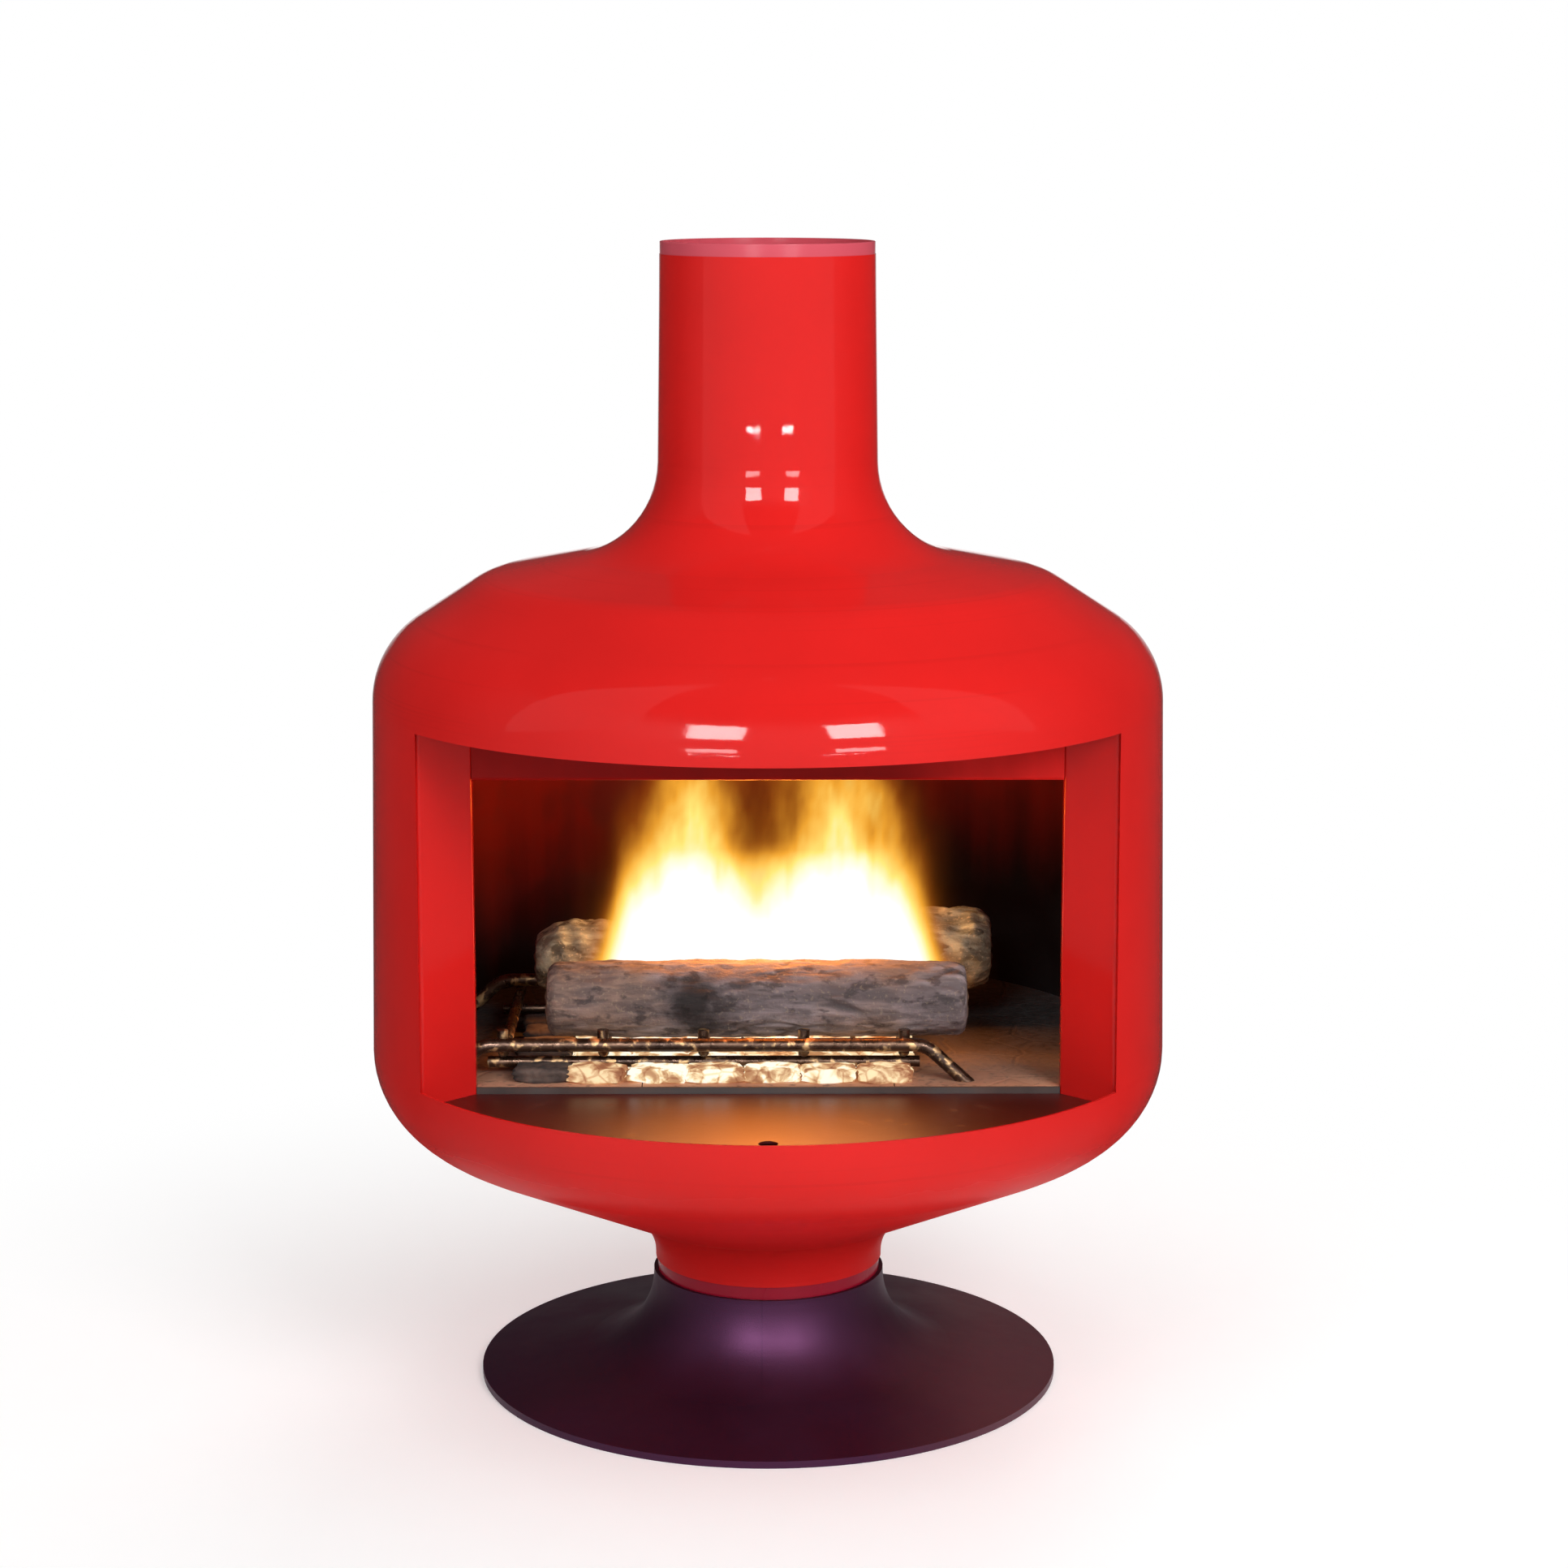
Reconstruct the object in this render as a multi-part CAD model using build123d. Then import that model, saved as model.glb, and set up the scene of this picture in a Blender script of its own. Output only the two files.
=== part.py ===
from build123d import *
import os
from math import atan2, cos, degrees, radians, sin, sqrt, tan

# Clearances
seat_gap = 0.3
lap_gap = 0.2
joint_gap = 1.0
running_gap = 0.05

# Trumpet foot
base_radius = 288.0
base_rim = 7.0
base_wall = 3.0
flare_slope = 8.0
flare_radius = 79.0
column_radius = 115.0
column_rise = 1.0
flange_bore = 60.0

# Ring and bolts between foot and bowl
ring_height = 13.0
ring_inset = 4.0
bolt_count = 6
bolt_circle = 84.0
bolt_radius = 5.0
bolt_head_radius = 8.5
bolt_head_height = 6.5
bolt_tail = 4.0
nut_height = 8.0

# Bowl
bowl_wall = 2.5
waist_radius = 113.0
waist_rise = 1.0
waist_fillet = 47.0
bowl_slope = 24.7
bowl_shoulder = 95.0

# Drum, a little wider at its foot, with straight edges of bowl and hood where it meets them
drum_radius = 384.0
drum_flare = 6.0
drum_wall = 2.5
drum_height = 339.0
drum_cut = 325.0
rim_edge = 3.0

# Hood
hood_wall = 2.0
hood_corner = 92.0
hood_slope = 33.0
crease_radius = 277.0
crease_bend = 60.0
shoulder_slope = 11.2
neck_fillet = 94.0

# Neck and flue collar
pipe_radius = 100.0
collar_wall = 1.3
collar_length = 50.0
collar_lip = 12.0
lip_inset = 0.5
lip_round = 0.8
neck_wall = 1.6
neck_taper = 3.0
neck_length = 198.0

# Front of the firebox
mouth_half = 277.0
mouth_set_back = 165.0
mouth_height = 296.0
panel_wall = 2.5
panel_bend = 4.0
jamb_return = 14.0
jamb_flange = 25.0
lintel_return = 22.0

# Firebox floor and hearth tray
tray_drop = 14.5
hearth_step = 6.0
slab_thickness = 30.0
slab_seam = 120.0
plate_thickness = 4.0
edge_thickness = 3.0
tray_wall = 2.5
tray_margin = 1.0
tray_tip_inset = 12.0
finger_radius = 9.0
finger_reach = 44.0

# Fireback
fireback_gap = 19.5
fireback_wall = 2.5
fireback_height = 350.0
spacer_radius = 8.0
spacer_angles = (-75.0, -25.0, 25.0, 75.0)
spacer_low = 70.0
spacer_rise = 210.0
screw_radius = 2.5
screw_head_radius = 6.0
screw_head_height = 3.0
screw_depth = 10.0

# Damper
damper_rise = 44.0
damper_radius = 92.0
damper_thickness = 3.0
damper_screw_reach = 45.0
shaft_radius = 6.0
shaft_end_gap = 1.0
bush_radius = 10.0
bush_length = 8.0
bush_flange_radius = 15.0
bush_flange = 3.0
lever_hub_radius = 11.0
lever_hub_length = 12.0
lever_foot_width = 15.0
lever_tip_width = 9.0
lever_thickness = 6.0
lever_length = 76.0
lever_pin_radius = 3.5
lever_pin_length = 9.0
knob_radius = 13.0
knob_sink = 4.0
knob_clearance = 2.5

# Grate
grate_shift = -62.0
grate_half = 250.0
grate_front = -141.0
grate_depth = 262.0
rail_radius = 6.5
leg_run = 38.0
leg_bend = 30.0
stretcher_radius = 5.5
stretcher_rise = 12.0
stretcher_inset = 27.0
stretcher_overhang = 10.0
bar_count = 5
bar_end = 8.0
bar_radius = 5.5
bar_bend = 12.0
bar_turn_up = 24.0
bar_overhang = 12.0

# Logs
front_log_radius = 39.0
front_log_length = 407.0
front_log_x = -11.0
front_log_y = -84.0
back_log_radius = 48.0
back_log_length = 460.0
back_log_x = -5.0
back_log_y = 72.0
log_taper = 3.0
log_wander = 4.0

# Embers
ember_columns = 7
ember_rows = 5
ember_x = -52.0
ember_length = 46.0
ember_width = 38.0
ember_height = 11.0
ember_gap = 5.0
ember_taper = 24.0
ember_turn = 8.0

# Heights and radii that follow from the sizes above
flare_rise = base_rim + (base_radius - column_radius - flare_radius) * tan(radians(flare_slope))
column_straight = base_wall + column_rise
base_height = flare_rise + flare_radius / cos(radians(flare_slope)) + column_straight
bowl_foot = base_height + ring_height
waist_straight = bowl_wall + waist_rise
bowl_radius = drum_radius + drum_flare
bowl_sin = sin(radians(bowl_slope))
bowl_cos = cos(radians(bowl_slope))
bowl_cone = bowl_radius - waist_radius - (bowl_shoulder + waist_fillet) * (1 - bowl_sin)
bowl_bends = (bowl_shoulder + waist_fillet) * bowl_cos
bowl_turn_top = bowl_foot + waist_straight + bowl_bends + bowl_cone * tan(radians(bowl_slope))
bowl_rim = bowl_turn_top + rim_edge
hood_rim = bowl_rim + drum_height
drum_inside = drum_radius - drum_wall
tray_top = bowl_rim - tray_drop
slab_top = tray_top + hearth_step
floor_top = slab_top - slab_thickness
floor_bottom = floor_top - plate_thickness
floor_reach = sqrt((bowl_shoulder - bowl_wall) ** 2 - (bowl_turn_top - floor_bottom) ** 2)
floor_radius = bowl_radius - bowl_shoulder + floor_reach - seat_gap
tray_radius = floor_radius - tray_margin
collar_bore = pipe_radius + seat_gap
spigot_radius = collar_bore + collar_wall
neck_top_radius = spigot_radius + seat_gap + neck_wall
neck_foot_radius = neck_top_radius + neck_taper
neck_lean = degrees(atan2(neck_taper, neck_length))
fireback_outside = drum_inside - fireback_gap
fireback_radius = fireback_outside - fireback_wall
bar_height = slab_top + stretcher_rise + stretcher_radius + lap_gap + bar_radius
bar_top = bar_height + bar_radius
rail_height = bar_top + lap_gap + rail_radius
bar_front = grate_front + rail_radius + lap_gap + bar_radius
grate_rear = grate_front + grate_depth
leg_angle = atan2(rail_height - slab_top, leg_run)
ember_cos = cos(radians(ember_turn))
ember_sin = sin(radians(ember_turn))
ember_pitch_x = ember_length * ember_cos + ember_width * ember_sin + ember_gap
ember_pitch_y = ember_width * ember_cos + ember_length * ember_sin + ember_gap
stretcher_front = grate_front + stretcher_inset
stretcher_rear = grate_rear - stretcher_inset
bar_reach = grate_half - leg_run - leg_bend * tan(leg_angle / 2) - bar_end
LOW = (Align.CENTER, Align.CENTER, Align.MIN)
CORNER = (Align.MIN, Align.MIN, Align.MIN)
FAR = 2 * base_radius + 2 * drum_radius


def tangent_path(start, heading, steps, inset=0.0):
    """Chain straight runs and (radius, turn) arcs, shifted to the left of the path by inset."""
    left = Vector(-sin(radians(heading)), cos(radians(heading)))
    point = Vector(*start) + left * inset
    edges = []
    for step in steps:
        if isinstance(step, tuple):
            radius, turn = step
            tangent = Vector(cos(radians(heading)), sin(radians(heading)))
            bend = radius - inset if turn > 0 else radius + inset
            edge = JernArc(point, tangent, bend, turn)
            heading += turn
        else:
            edge = PolarLine(point, step, heading)
        edges.append(edge)
        point = edge @ 1
    return edges


def joined(*corners):
    """Straight edges from corner to corner."""
    return [Line(a, b) for a, b in zip(corners, corners[1:])]


def spun(edges):
    """Turn a closed outline, drawn as radius and height, about the upright axis."""
    return revolve(Plane.XZ * make_face(edges), Axis.Z)


def spun_shell(start, heading, steps, wall):
    """Spin a sheet of even wall, which lies to the left of its path."""
    outer = tangent_path(start, heading, steps)
    inner = tangent_path(start, heading, steps, wall)
    return spun(outer + inner + joined(outer[0] @ 0, inner[0] @ 0) + joined(outer[-1] @ 1, inner[-1] @ 1))


def spun_inside(start, heading, steps, inset):
    """Spin the space between a shell's path, moved in by inset, and the axis."""
    wall = tangent_path(start, heading, steps, inset)
    low = wall[0] @ 0
    high = wall[-1] @ 1
    return spun(wall + joined(low, Vector(0, low.Y), Vector(0, high.Y), high))


def disc(radius, low, high):
    """Upright cylinder between two heights."""
    return Pos(0, 0, low) * Cylinder(radius, high - low, align=LOW)


def block(x_range, y_range, z_range):
    """Box between two corners."""
    size = [high - low for low, high in (x_range, y_range, z_range)]
    return Pos(x_range[0], y_range[0], z_range[0]) * Box(*size, align=CORNER)


def rod_y(radius, low, high, z=0.0):
    """Cylinder along Y between two places."""
    return Pos(0, low, z) * Rot(-90, 0, 0) * Cylinder(radius, high - low, align=LOW)


def rod_x(radius, low, high, y=0.0, z=0.0):
    """Cylinder along X between two places."""
    return Pos(low, y, z) * Rot(0, 90, 0) * Cylinder(radius, high - low, align=LOW)


def bent_sheet(points):
    """Face of a folded sheet whose visible side follows the points, with the wall to its right."""
    fold = FilletPolyline(*points, radius=panel_bend).wire()
    return Face(fold.offset_2d(panel_wall, side=Side.RIGHT))


def bent_rod(points, bend, radius):
    """Round bar along straight runs that are joined by bends."""
    path = FilletPolyline(*points, radius=bend).wire()
    return sweep(Plane(path @ 0, z_dir=path % 0) * Circle(radius), path)


def group(solids):
    """One node of separate solids."""
    return Compound(children=[piece.solid() for piece in solids])


def bolt_places():
    """Places around the flanges between foot and bowl."""
    return PolarLocations(bolt_circle, bolt_count)


# Paths of the spun shells, drawn as radius and height
hood_turn = hood_slope - shoulder_slope
crease_reach = crease_bend * tan(radians(hood_turn / 2))
corner_end = drum_radius - hood_corner * (1 - sin(radians(hood_slope)))
cone_run = (corner_end - crease_radius) / cos(radians(hood_slope)) - crease_reach
shoulder_start = crease_radius - crease_reach * cos(radians(shoulder_slope))
fillet_run = neck_fillet * (cos(radians(neck_lean)) - sin(radians(shoulder_slope)))
shoulder_run = (shoulder_start - fillet_run - neck_foot_radius) / cos(radians(shoulder_slope))
hood_corner_step = (hood_corner, 90 - hood_slope)
crease_step = (crease_bend, hood_turn)
neck_fillet_step = (neck_fillet, neck_lean + shoulder_slope - 90)
hood_steps = (rim_edge, hood_corner_step, cone_run, crease_step, shoulder_run, neck_fillet_step)
hood_start = (drum_radius, hood_rim)
bowl_fillet_step = (waist_fillet, bowl_slope - 90)
bowl_shoulder_step = (bowl_shoulder, 90 - bowl_slope)
bowl_upper_steps = (bowl_fillet_step, bowl_cone / bowl_cos, bowl_shoulder_step, rim_edge)
neck_foot = (tangent_path(hood_start, 90, hood_steps)[-1] @ 1).Y
neck_start = (neck_foot_radius, neck_foot)
neck_steps = (neck_length / cos(radians(neck_lean)),)
neck_top = neck_foot + neck_length
damper_height = neck_foot + damper_rise
neck_outside = neck_foot_radius - damper_rise * tan(radians(neck_lean))
neck_inside = neck_outside - neck_wall


def drum_space(inset):
    """Room inside the drum's outer face, moved in by inset."""
    return Pos(0, 0, bowl_rim) * Cone(bowl_radius - inset, drum_radius - inset, drum_height, align=LOW)


def firebox_space():
    """Room inside bowl, drum and hood above the floor plate, less the seat gap."""
    bowl_start = (waist_radius, bowl_foot + waist_straight)
    bowl_room = spun_inside(bowl_start, 90, bowl_upper_steps, bowl_wall + seat_gap)
    bowl_room = bowl_room - disc(FAR, 0, floor_top)
    drum_room = drum_space(drum_wall + seat_gap)
    hood_room = spun_inside(hood_start, 90, hood_steps, hood_wall + seat_gap)
    return bowl_room + drum_room + hood_room


def base_flare():
    """Trumpet foot with a flange at its top and an upright edge at the floor."""
    run = (base_radius - column_radius - flare_radius * (1 - sin(radians(flare_slope))))
    run = run / cos(radians(flare_slope))
    rim_trim = base_wall * (1 - sin(radians(flare_slope))) / cos(radians(flare_slope))
    flare_step = (flare_radius, 90 - flare_slope)
    outer = tangent_path((column_radius, base_height), -90, (column_straight, flare_step, run))
    flange_low = base_height - base_wall
    inner_steps = (column_straight - base_wall, flare_step, run - rim_trim)
    inner = tangent_path((column_radius, flange_low), -90, inner_steps, -base_wall)
    edge = joined(outer[-1] @ 1, Vector(base_radius, 0), Vector(base_radius - base_wall, 0), inner[-1] @ 1)
    flange = joined(inner[0] @ 0, Vector(flange_bore, flange_low), Vector(flange_bore, base_height), outer[0] @ 0)
    shell = spun(outer + inner + edge + flange)
    return shell - bolt_places() * Cylinder(bolt_radius + seat_gap, FAR)


def base_plate():
    """Ballast plate inside the foot's edge."""
    return disc(base_radius - base_wall - seat_gap, 0, base_rim - base_wall)


def pedestal_ring():
    """Inset ring that shows as a line between waist and foot."""
    ring = disc(column_radius - ring_inset, base_height, bowl_foot) - disc(flange_bore, 0, FAR)
    return ring - bolt_places() * Cylinder(bolt_radius + seat_gap, FAR)


def pedestal_bolts():
    """Hexagon bolts with their heads inside the bowl."""
    head_low = bowl_foot + bowl_wall
    tail = base_height - base_wall - nut_height - bolt_tail
    head = Pos(0, 0, head_low) * extrude(RegularPolygon(bolt_head_radius, 6), bolt_head_height)
    bolt = head + disc(bolt_radius, tail, head_low)
    return group(bolt_places() * bolt)


def pedestal_nuts():
    """Hexagon nuts under the foot's flange."""
    nut = extrude(RegularPolygon(bolt_head_radius, 6), nut_height) - Cylinder(bolt_radius + running_gap, FAR)
    return group(bolt_places() * (Pos(0, 0, base_height - base_wall - nut_height) * nut))


def bowl():
    """Spun bowl with a flange at the bottom of its waist."""
    flange_top = bowl_foot + bowl_wall
    outer = tangent_path((waist_radius, bowl_foot), 90, (waist_straight, *bowl_upper_steps))
    inner_steps = (waist_straight - bowl_wall, *bowl_upper_steps)
    inner = tangent_path((waist_radius, flange_top), 90, inner_steps, bowl_wall)
    flange = joined(inner[0] @ 0, Vector(flange_bore, flange_top), Vector(flange_bore, bowl_foot), outer[0] @ 0)
    shell = spun(outer + inner + flange + joined(outer[-1] @ 1, inner[-1] @ 1))
    return shell - bolt_places() * Cylinder(bolt_radius + seat_gap, FAR)


def drum_shell():
    """Rolled wall between bowl and hood, flush with both and cut open at the front."""
    wall = drum_space(0) - drum_space(drum_wall)
    return wall - block((-drum_cut, drum_cut), (-FAR, 0), (0, FAR))


def jamb_corner(height):
    """Plan place where the right jamb meets the drum's cut edge."""
    x = drum_cut - seat_gap
    flare = drum_flare * (hood_rim - height) / drum_height
    return Vector(x, -sqrt((drum_inside + flare - seat_gap - lap_gap) ** 2 - x**2))


def jamb_section(height):
    """Plan of the right jamb, folded back at the mouth and along the drum."""
    corner = jamb_corner(height)
    turn = jamb_flange / corner.length
    flange_end = corner.rotate(Axis.Z, degrees(turn))
    mouth = Vector(mouth_half, -mouth_set_back)
    return_end = Vector(mouth_half, -mouth_set_back + jamb_return)
    return Pos(0, 0, height) * bent_sheet((flange_end, corner, mouth, return_end))


def right_jamb(room):
    """Splayed panel beside the mouth, which leans with the drum's wall."""
    return room & loft([jamb_section(floor_top), jamb_section(neck_foot)], ruled=True)


def lintel(room):
    """Panel above the mouth, folded back at its lower edge and trimmed to the hood."""
    low = slab_top + mouth_height
    back = (-mouth_set_back + lintel_return, low)
    sheet = bent_sheet((back, (-mouth_set_back, low), (-mouth_set_back, neck_foot)))
    return room & extrude(Plane.YZ * sheet, mouth_half - seat_gap, both=True)


def floor_plate():
    """Round plate seated in the bowl's curve."""
    return disc(floor_radius, floor_bottom, floor_top)


def hearth_edge():
    """Steel strip that holds the slabs at the mouth."""
    half = mouth_half - seat_gap
    front = -mouth_set_back
    return block((-half, half), (front, front + edge_thickness), (floor_top, slab_top))


def hearth_slab(x_low, x_high):
    """One slab of the fire's floor, cut round the jamb's fold."""
    front = -mouth_set_back + edge_thickness + seat_gap
    behind_jamb = -mouth_set_back + jamb_return + seat_gap
    slab = disc(fireback_radius - seat_gap, floor_top, slab_top)
    slab = slab & block((x_low, x_high), (front, FAR), (0, FAR))
    wide = mouth_half - seat_gap
    slab = slab - block((wide, FAR), (-FAR, behind_jamb), (0, FAR))
    return slab - block((-FAR, -wide), (-FAR, behind_jamb), (0, FAR))


def hearth_tray():
    """Shallow tray turned upside down in front of the mouth, with a finger hole."""
    corner = jamb_corner(floor_top)
    splay = (-mouth_set_back - corner.Y) / (corner.X - mouth_half)
    back = -mouth_set_back - joint_gap
    tip = drum_cut - tray_tip_inset
    tip_back = back - (tip - mouth_half) * splay
    right_side = [(mouth_half, back), (tip, tip_back), (tip, -FAR)]
    left_side = [(-x, y) for x, y in reversed(right_side)]
    plan = Circle(tray_radius) & make_face(Polyline(*right_side, *left_side, close=True))
    low = floor_top + seat_gap
    tray = Pos(0, 0, low) * extrude(plan, tray_top - low)
    hollow = Pos(0, 0, low) * extrude(offset(plan, -tray_wall), tray_top - tray_wall - low)
    finger_hole = Pos(0, finger_reach - tray_radius, 0) * Cylinder(finger_radius, FAR)
    return tray - hollow - finger_hole


def spacer_places():
    """Turns and heights of the fireback's spacers."""
    heights = (floor_top + spacer_low, floor_top + spacer_low + spacer_rise)
    return [(Rot(0, 0, angle), height) for angle in spacer_angles for height in heights]


def fireback():
    """Curved shield that stands on the floor plate behind the fire."""
    sheet = disc(fireback_outside, floor_top, floor_top + fireback_height) - disc(fireback_radius, 0, FAR)
    sheet = sheet - block((-FAR, FAR), (-FAR, -mouth_set_back), (0, FAR))
    for turn, height in spacer_places():
        sheet = sheet - turn * rod_y(screw_radius + seat_gap, 0, drum_radius, height)
    return sheet


def fireback_spacers():
    """Studs between fireback and drum."""
    gap = drum_space(drum_wall + lap_gap) - disc(fireback_outside + lap_gap, 0, FAR)
    bore_end = fireback_radius + screw_depth + joint_gap
    studs = []
    for turn, height in spacer_places():
        stud = gap & (turn * rod_y(spacer_radius, fireback_radius, bowl_radius, height))
        studs.append(stud - turn * rod_y(screw_radius + running_gap, 0, bore_end, height))
    return group(studs)


def fireback_screws():
    """Screws with their heads on the fire's side."""
    head_back = fireback_radius - lap_gap
    screws = []
    for turn, height in spacer_places():
        head = rod_y(screw_head_radius, head_back - screw_head_height, head_back, height)
        screws.append(turn * (head + rod_y(screw_radius, head_back, fireback_radius + screw_depth, height)))
    return group(screws)


def hood_dome():
    """Spun dome from its rim to the foot of the neck."""
    return spun_shell(hood_start, 90, hood_steps, hood_wall)


def hood_neck():
    """Tapered flue neck with a hole at the rear for the damper's bush."""
    neck = spun_shell(neck_start, 90 + neck_lean, neck_steps, neck_wall)
    return neck - rod_y(bush_radius + lap_gap, 0, FAR, damper_height)


def flue_collar():
    """Socket for the flue pipe, with a lip on the neck's top."""
    lip_radius = neck_top_radius - lip_inset
    low = neck_top - collar_length
    high = neck_top + collar_lip
    corners = [(collar_bore, low), (spigot_radius, low), (spigot_radius, neck_top)]
    corners += [(lip_radius, neck_top), (lip_radius, high), (collar_bore, high)]
    collar = spun(Polyline(*corners, close=True).edges())
    return fillet(collar.edges().group_by(Axis.Z)[-1].sort_by(SortBy.LENGTH)[-1], lip_round)


def front_bush():
    """Blind bush inside the neck's front wall."""
    room = spun_inside(neck_start, 90 + neck_lean, neck_steps, neck_wall + lap_gap)
    inner_end = bush_length - neck_inside
    bush = rod_y(bush_radius, -FAR, inner_end, damper_height)
    return (room & bush) - rod_y(shaft_radius + running_gap, -FAR, inner_end, damper_height)


def rear_bush():
    """Flanged bush through the neck's rear wall."""
    flange_low = neck_outside + seat_gap
    flange_high = flange_low + bush_flange
    bush = rod_y(bush_radius, neck_inside - bush_length, flange_high, damper_height)
    bush = bush + rod_y(bush_flange_radius, flange_low, flange_high, damper_height)
    return bush - rod_y(shaft_radius + running_gap, 0, FAR, damper_height)


def damper_plate():
    """Round plate that stands upright when the flue is open."""
    half = damper_thickness / 2
    plate = rod_x(damper_radius, -half, half, 0, damper_height)
    for side in (-1, 1):
        plate = plate - rod_x(screw_radius + running_gap, -FAR, FAR, side * damper_screw_reach, damper_height)
    return plate


lever_middle = neck_outside + knob_radius + knob_clearance
lever_low = lever_middle - lever_hub_length / 2
lever_high = lever_low + lever_hub_length
lever_top = damper_height + lever_length


def damper_shaft():
    """Spindle, slotted for the plate, from the front bush to the lever."""
    shaft = rod_y(shaft_radius, shaft_end_gap - neck_inside, lever_high, damper_height)
    half = damper_thickness / 2 + running_gap
    reach = damper_radius + seat_gap
    shaft = shaft - block((-half, half), (-reach, reach), (damper_height - FAR, damper_height + FAR))
    for side in (-1, 1):
        shaft = shaft - rod_x(screw_radius + running_gap, -FAR, FAR, side * damper_screw_reach, damper_height)
    return shaft


def damper_screws():
    """Two screws through spindle and plate."""
    screws = []
    for side in (-1, 1):
        y = side * damper_screw_reach
        head = rod_x(screw_head_radius, shaft_radius, shaft_radius + screw_head_height, y, damper_height)
        screws.append(head + rod_x(screw_radius, -shaft_radius, shaft_radius, y, damper_height))
    return group(screws)


def damper_lever():
    """Lever outside the neck, in line with the plate."""
    foot = lever_foot_width / 2
    tip = lever_tip_width / 2
    outline = [(-foot, damper_height), (foot, damper_height), (tip, lever_top), (-tip, lever_top)]
    arm = extrude(Plane.XZ * make_face(Polyline(*outline, close=True)), lever_thickness / 2, both=True)
    lever = rod_y(lever_hub_radius, lever_low, lever_high, damper_height) + Pos(0, lever_middle, 0) * arm
    lever = lever - rod_y(shaft_radius + running_gap, 0, FAR, damper_height)
    pin = Pos(0, lever_middle, lever_top) * Cylinder(lever_pin_radius, lever_pin_length, align=LOW)
    return lever + pin


def damper_knob():
    """Ball on the lever's tip, flat where it meets the lever."""
    ball = Pos(0, lever_middle, lever_top + knob_radius - knob_sink) * Sphere(knob_radius)
    ball = ball - block((-FAR, FAR), (-FAR, FAR), (0, lever_top + lap_gap))
    pin_room = lever_pin_length + joint_gap
    socket = Cylinder(lever_pin_radius + running_gap, pin_room, align=LOW)
    return ball - Pos(0, lever_middle, lever_top) * socket


def grate_rail(y):
    """Rail along the grate whose ends slope down to the floor."""
    rise = rail_height - slab_top
    outer = grate_half + leg_run
    low = slab_top - rise
    inner = grate_half - leg_run
    points = [(-outer, low), (-inner, rail_height), (inner, rail_height), (outer, low)]
    rail = bent_rod([(grate_shift + x, y, z) for x, z in points], leg_bend, rail_radius)
    return rail - block((-FAR, FAR), (-FAR, FAR), (0, slab_top + seat_gap))


def grate_stretchers():
    """Straight rods under the cross bars."""
    half = bar_reach + bar_radius + stretcher_overhang
    z = slab_top + stretcher_rise
    rows = (stretcher_front, stretcher_rear)
    return group([rod_x(stretcher_radius, grate_shift - half, grate_shift + half, y, z) for y in rows])


def grate_bars():
    """Cross bars from front to back, turned up behind the front rail."""
    bars = []
    for index in range(bar_count):
        x = grate_shift + (2 * index / (bar_count - 1) - 1) * bar_reach
        tip = (x, bar_front, bar_height + bar_turn_up)
        bend = (x, bar_front, bar_height)
        rear = (x, grate_rear + bar_overhang, bar_height)
        bars.append(bent_rod([tip, bend, rear], bar_bend, bar_radius))
    return group(bars)


def log(x, y, radius, length):
    """Split-free log that tapers to both ends and lies on the cross bars."""
    sections = []
    for share, wander in ((-0.5, 1), (0, -1), (0.5, 1)):
        end_radius = radius - log_taper * abs(2 * share)
        place = Vector(x + share * length, y + wander * log_wander / 2, bar_top + seat_gap + end_radius)
        sections.append(Plane(place, x_dir=(0, 1, 0), z_dir=(1, 0, 0)) * Circle(end_radius))
    return loft(sections)


def embers():
    """Bed of loose embers on the floor, in rows that leave the front stretcher free."""
    lumps = []
    for row in range(ember_rows):
        for column in range(ember_columns):
            x = ember_x + (column - (ember_columns - 1) / 2) * ember_pitch_x
            y = stretcher_front + (row - 0.5) * ember_pitch_y
            turn = ember_turn * ((2 * column + row) % 3 - 1)
            outline = Rectangle(ember_length, ember_width)
            lump = extrude(outline, ember_height, taper=ember_taper)
            lumps.append(Pos(x, y, slab_top + lap_gap) * Rot(0, 0, turn) * lump)
    return group(lumps)


room = firebox_space()
jamb = right_jamb(room)
seam = joint_gap / 2
nodes = {
    "base_flare": base_flare(),
    "base_plate": base_plate(),
    "pedestal_ring": pedestal_ring(),
    "pedestal_bolts": pedestal_bolts(),
    "pedestal_nuts": pedestal_nuts(),
    "bowl": bowl(),
    "drum_shell": drum_shell(),
    "right_jamb": jamb,
    "left_jamb": mirror(jamb, Plane.YZ),
    "lintel": lintel(room),
    "floor_plate": floor_plate(),
    "hearth_edge": hearth_edge(),
    "hearth_slab_left": hearth_slab(-FAR, -slab_seam - seam),
    "hearth_slab_middle": hearth_slab(-slab_seam + seam, slab_seam - seam),
    "hearth_slab_right": hearth_slab(slab_seam + seam, FAR),
    "hearth_tray": hearth_tray(),
    "fireback": fireback(),
    "fireback_spacers": fireback_spacers(),
    "fireback_screws": fireback_screws(),
    "hood_dome": hood_dome(),
    "hood_neck": hood_neck(),
    "flue_collar": flue_collar(),
    "front_bush": front_bush(),
    "rear_bush": rear_bush(),
    "damper_plate": damper_plate(),
    "damper_shaft": damper_shaft(),
    "damper_screws": damper_screws(),
    "damper_lever": damper_lever(),
    "damper_knob": damper_knob(),
    "grate_front_rail": grate_rail(grate_front),
    "grate_rear_rail": grate_rail(grate_rear),
    "grate_stretchers": grate_stretchers(),
    "grate_bars": grate_bars(),
    "front_log": log(front_log_x, front_log_y, front_log_radius, front_log_length),
    "back_log": log(back_log_x, back_log_y, back_log_radius, back_log_length),
    "embers": embers(),
}

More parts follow.
